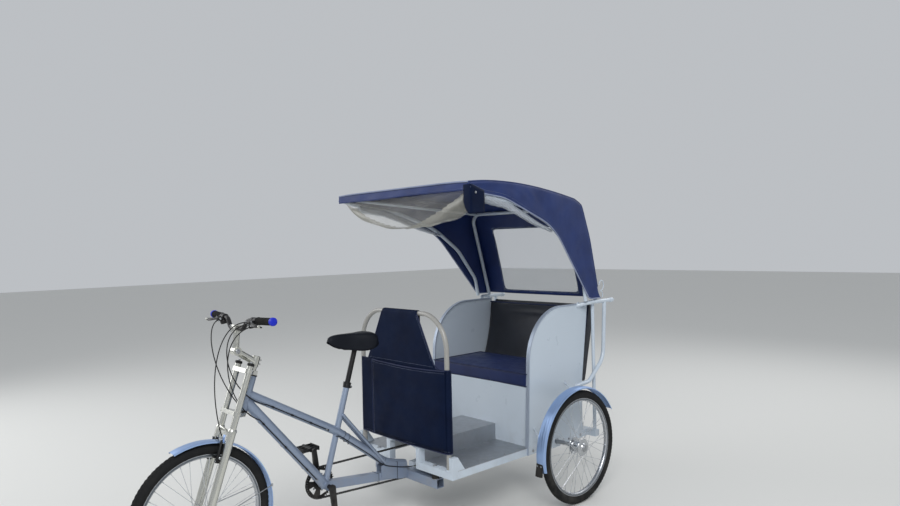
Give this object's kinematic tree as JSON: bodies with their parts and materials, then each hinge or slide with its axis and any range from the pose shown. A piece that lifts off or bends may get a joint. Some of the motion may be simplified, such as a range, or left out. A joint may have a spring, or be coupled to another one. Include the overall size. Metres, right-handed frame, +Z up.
{
  "type": "cycle rickshaw",
  "caption": "Passenger cycle rickshaw: bicycle front with sprung fork joined to a two-seat cab on spoked wheels under a navy vinyl canopy",
  "frame": {"origin": "On the ground, midway between the front of the front tyre and the ends of the rear bars, on the centre line", "axes": "The vehicle faces -Y, its left side is +X and up is +Z"},
  "size_m": [1.26, 2.8898, 1.8743],
  "materials": {
    "black_metal": "satin black",
    "black_plastic": "matt",
    "cab_paint": "gloss off-white",
    "cable": "smooth",
    "clear_vinyl": "soft clear sheet",
    "drive_steel": "oiled",
    "floor_aluminium": "dull sheet",
    "fork_metal": "polished",
    "frame_paint": "satin silver grey",
    "grey_vinyl": "smooth dark grey",
    "guard_steel": "polished",
    "navy_vinyl": "coated fabric with a soft sheen",
    "rubber": "matt",
    "saddle_vinyl": "smooth black",
    "trim_aluminium": "drawn edge trim",
    "tyre": "matt tread rubber",
    "wheel_steel": "polished"
  },
  "bodies": {
    "chassis": {"axle_bearings": "cab_paint", "back_cushion": "grey_vinyl", "back_plate": "grey_vinyl", "bottom_shell": "frame_paint", "canopy": "navy_vinyl", "canopy_bows": "cab_paint", "chain": "drive_steel", "cross_members": "cab_paint", "cross_tube": "frame_paint", "curtains": "clear_vinyl", "down_tube": "frame_paint", "floor_plate": "floor_aluminium", "frame_cables": "cable", "front_member": "cab_paint", "guard_flaps": "rubber", "guide_roller": "black_plastic", "head_tube": "frame_paint", "hoop": "cab_paint", "lower_tube": "frame_paint", "panel_trims": "trim_aluminium", "rear_bars": "cab_paint", "rear_guards": "guard_steel", "rear_loops": "cab_paint", "rear_posts": "cab_paint", "rear_window": "clear_vinyl", "rubber_mounts": "rubber", "saddle": "saddle_vinyl", "screen": "navy_vinyl", "seat_box": "cab_paint", "seat_cushion": "navy_vinyl", "seat_post": "black_metal", "seat_stays": "frame_paint", "seat_tube": "frame_paint", "side_panels": "cab_paint", "side_rails": "cab_paint", "spine": "cab_paint", "top_tube": "frame_paint"},
    "steering": {"fork_legs": "fork_metal", "fork_crowns": "fork_metal", "stem": "fork_metal", "handlebar": "black_metal", "grips": "rubber", "brake_levers": "black_metal", "front_guard": "guard_steel", "rim_brake": "black_metal", "front_brake_cable": "cable", "bar_cables": "cable"},
    "front_wheel_body": {"front_tyre": "tyre", "front_wheel": "wheel_steel"},
    "rear_wheel_left_body": {"rear_tyre_left": "tyre", "rear_wheel_left": "wheel_steel", "half_shaft_left": "drive_steel"},
    "rear_wheel_right_body": {"rear_tyre_right": "tyre", "rear_wheel_right": "wheel_steel", "half_shaft_right": "drive_steel"},
    "crank": {"crank_set": "drive_steel"},
    "left_pedal": {"pedal_left": "black_plastic"},
    "right_pedal": {"pedal_right": "black_plastic"}
  },
  "joints": [
    {"name": "steering_turn", "type": "hinge", "parent": "chassis", "child": "steering", "pos_m": [0, -1.06767, 0.31389], "axis": [0, 0.3223, 0.9466], "range_deg": [-45, 45], "deforming": ["bar_cables"]},
    {"name": "front_wheel_spin", "type": "hinge", "parent": "steering", "child": "front_wheel_body", "pos_m": [0, -1.115, 0.33], "axis": [1, 0, 0], "continuous": true},
    {"name": "rear_left_spin", "type": "hinge", "parent": "chassis", "child": "rear_wheel_left_body", "pos_m": [0.585, 0.915, 0.33], "axis": [1, 0, 0], "continuous": true},
    {"name": "rear_right_spin", "type": "hinge", "parent": "chassis", "child": "rear_wheel_right_body", "pos_m": [-0.585, 0.915, 0.33], "axis": [1, 0, 0], "continuous": true},
    {"name": "crank_spin", "type": "hinge", "parent": "chassis", "child": "crank", "pos_m": [0, -0.463, 0.312], "axis": [1, 0, 0], "continuous": true},
    {"name": "left_pedal_spin", "type": "hinge", "parent": "crank", "child": "left_pedal", "pos_m": [0.138, -0.44554, 0.14591], "axis": [1, 0, 0], "continuous": true},
    {"name": "right_pedal_spin", "type": "hinge", "parent": "crank", "child": "right_pedal", "pos_m": [-0.138, -0.48046, 0.47808], "axis": [1, 0, 0], "continuous": true}
  ]
}
